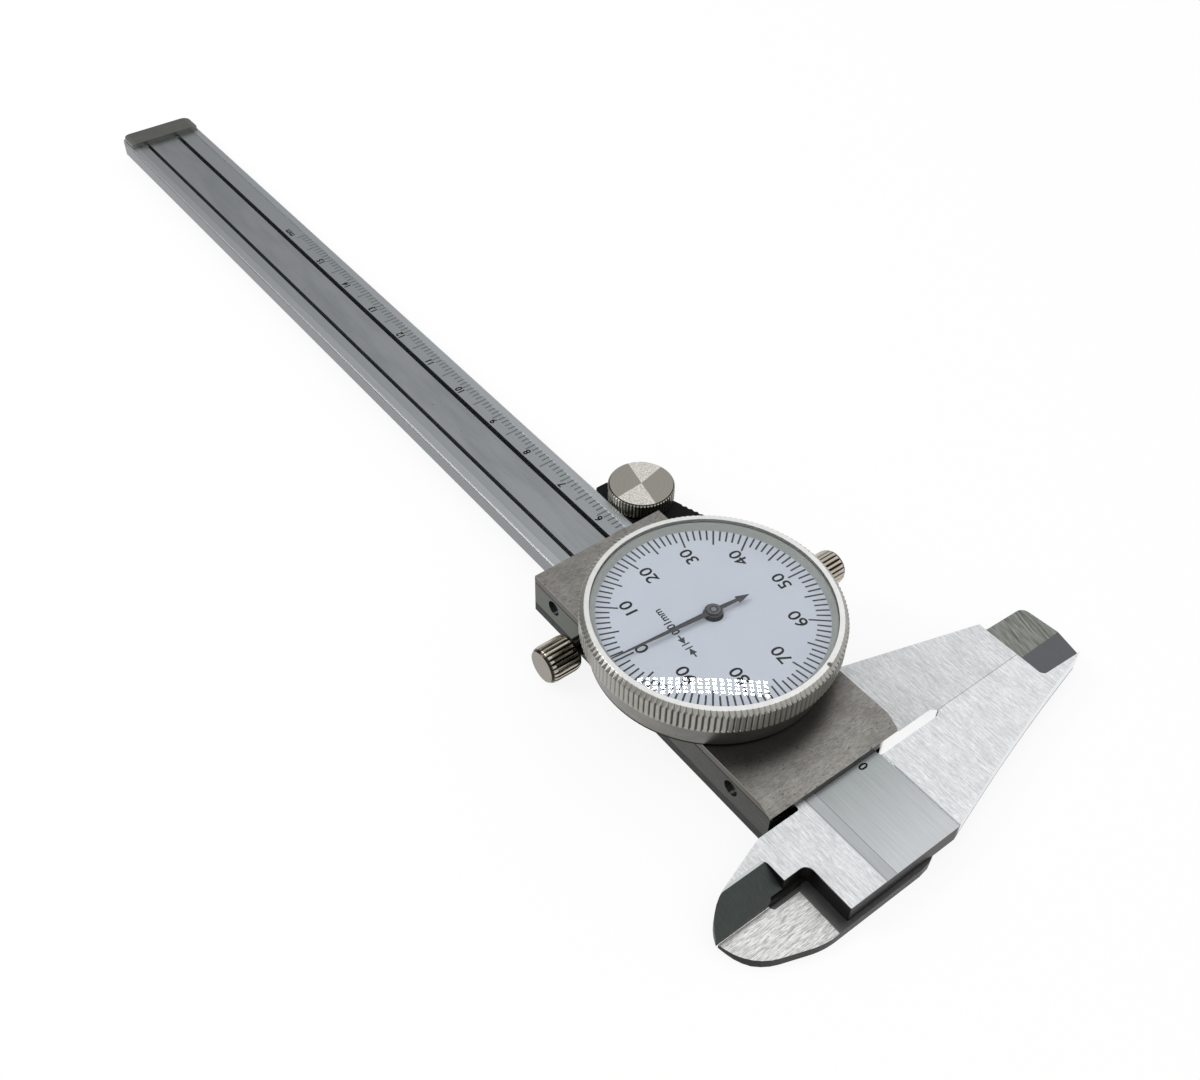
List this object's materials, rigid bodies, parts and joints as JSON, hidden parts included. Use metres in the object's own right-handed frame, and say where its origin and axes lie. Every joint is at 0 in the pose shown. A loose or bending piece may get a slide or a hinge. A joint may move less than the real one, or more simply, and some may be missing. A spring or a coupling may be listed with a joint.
{
  "type": "dial caliper",
  "caption": "Dial caliper for inside, outside and depth measuring, with a knurled dial bezel and hand, thumb roller, lock screw and a racked steel beam.",
  "frame": {"origin": "on the back face of the slider, under the fixed outside jaw's measuring face and the middle line of the beam", "axes": "+X along the beam away from the jaws, +Y towards the inside jaws and the lock screw, +Z out of the dial"},
  "size_m": [0.2329, 0.075, 0.0165],
  "materials": {
    "beam_steel": "satin chromed steel with a finer ground band",
    "slider_steel": "brushed stainless steel",
    "dark_steel": "blackened steel",
    "plain_steel": "hardened steel, ground",
    "brass": "turned and punched brass",
    "satin_chrome": "satin chromed brass, knurled edges",
    "black_coat": "black coated steel",
    "hand_grey": "blued steel hand",
    "dial_white": "printed white dial plate",
    "seat_green": "grey-green lacquered ring",
    "crystal": "clear domed acrylic crystal"
  },
  "bodies": {
    "beam": {"beam": "beam_steel", "rack": "plain_steel", "cover_strip": "beam_steel", "rack_screws": "plain_steel", "end_stop": "dark_steel", "end_stop_screws": "plain_steel"},
    "slider": {"slider_frame": "slider_steel", "slider_cover": "slider_steel", "gib": "slider_steel", "gib_screws": "dark_steel", "depth_rod": "beam_steel", "depth_rod_screws": "plain_steel", "thumb_rest": "black_coat", "thumb_rest_screws": "plain_steel", "dial_case": "satin_chrome", "case_screws": "plain_steel", "movement_bridge": "brass", "bridge_pillars": "brass", "bridge_screws": "plain_steel", "arbor_bushes": "brass", "bezel_snap_ring": "plain_steel", "clamp_shoe": "brass"},
    "rack_arbor": {"rack_pinion": "plain_steel", "drive_wheel": "brass", "backlash_wheel": "brass", "backlash_spring": "plain_steel"},
    "pointer": {"centre_pinion": "plain_steel", "hand": "hand_grey", "hand_cap": "hand_grey"},
    "bezel": {"bezel_ring": "satin_chrome", "dial_face": "dial_white", "crystal_seat": "seat_green", "crystal": "crystal"},
    "roller": {"thumb_roller": "satin_chrome", "roller_clip": "dark_steel"},
    "lock_screw": {"lock_screw": "satin_chrome"},
    "clamp_screw": {"bezel_clamp_screw": "satin_chrome"}
  },
  "joints": [
    {"name": "slider_slide", "type": "slide", "parent": "beam", "child": "slider", "axis": [1, 0, 0], "range_m": [0, 0.15]},
    {"name": "rack_arbor_spin", "type": "hinge", "parent": "slider", "child": "rack_arbor", "pos_m": [0.01987, -0.00285, 0.009], "axis": [0, 0, 1], "continuous": true},
    {"name": "pointer_spin", "type": "hinge", "parent": "slider", "child": "pointer", "pos_m": [0.02675, 0.0006, 0.012], "axis": [0, 0, 1], "continuous": true},
    {"name": "roller_spin", "type": "hinge", "parent": "slider", "child": "roller", "pos_m": [0.06, -0.01356, 0.005], "axis": [0, 0, 1], "continuous": true},
    {"name": "bezel_turn", "type": "hinge", "parent": "slider", "child": "bezel", "pos_m": [0.02675, 0.0006, 0.014], "axis": [0, 0, 1], "continuous": true},
    {"name": "lock_screw_turn", "type": "hinge", "parent": "slider", "child": "lock_screw", "pos_m": [0.0407, 0.017, 0.00335], "axis": [0, 1, 0], "range_deg": [-360, 0]},
    {"name": "clamp_screw_turn", "type": "hinge", "parent": "slider", "child": "clamp_screw", "pos_m": [0.02675, -0.02, 0.0091], "axis": [0, -1, 0], "range_deg": [-360, 0]}
  ],
  "couplings": [
    {"joint": "rack_arbor_spin", "follows": "slider_slide", "rad_per_m": 628.32},
    {"joint": "pointer_spin", "follows": "slider_slide", "rad_per_m": -6283.2},
    {"joint": "roller_spin", "follows": "slider_slide", "rad_per_m": 181.82}
  ]
}
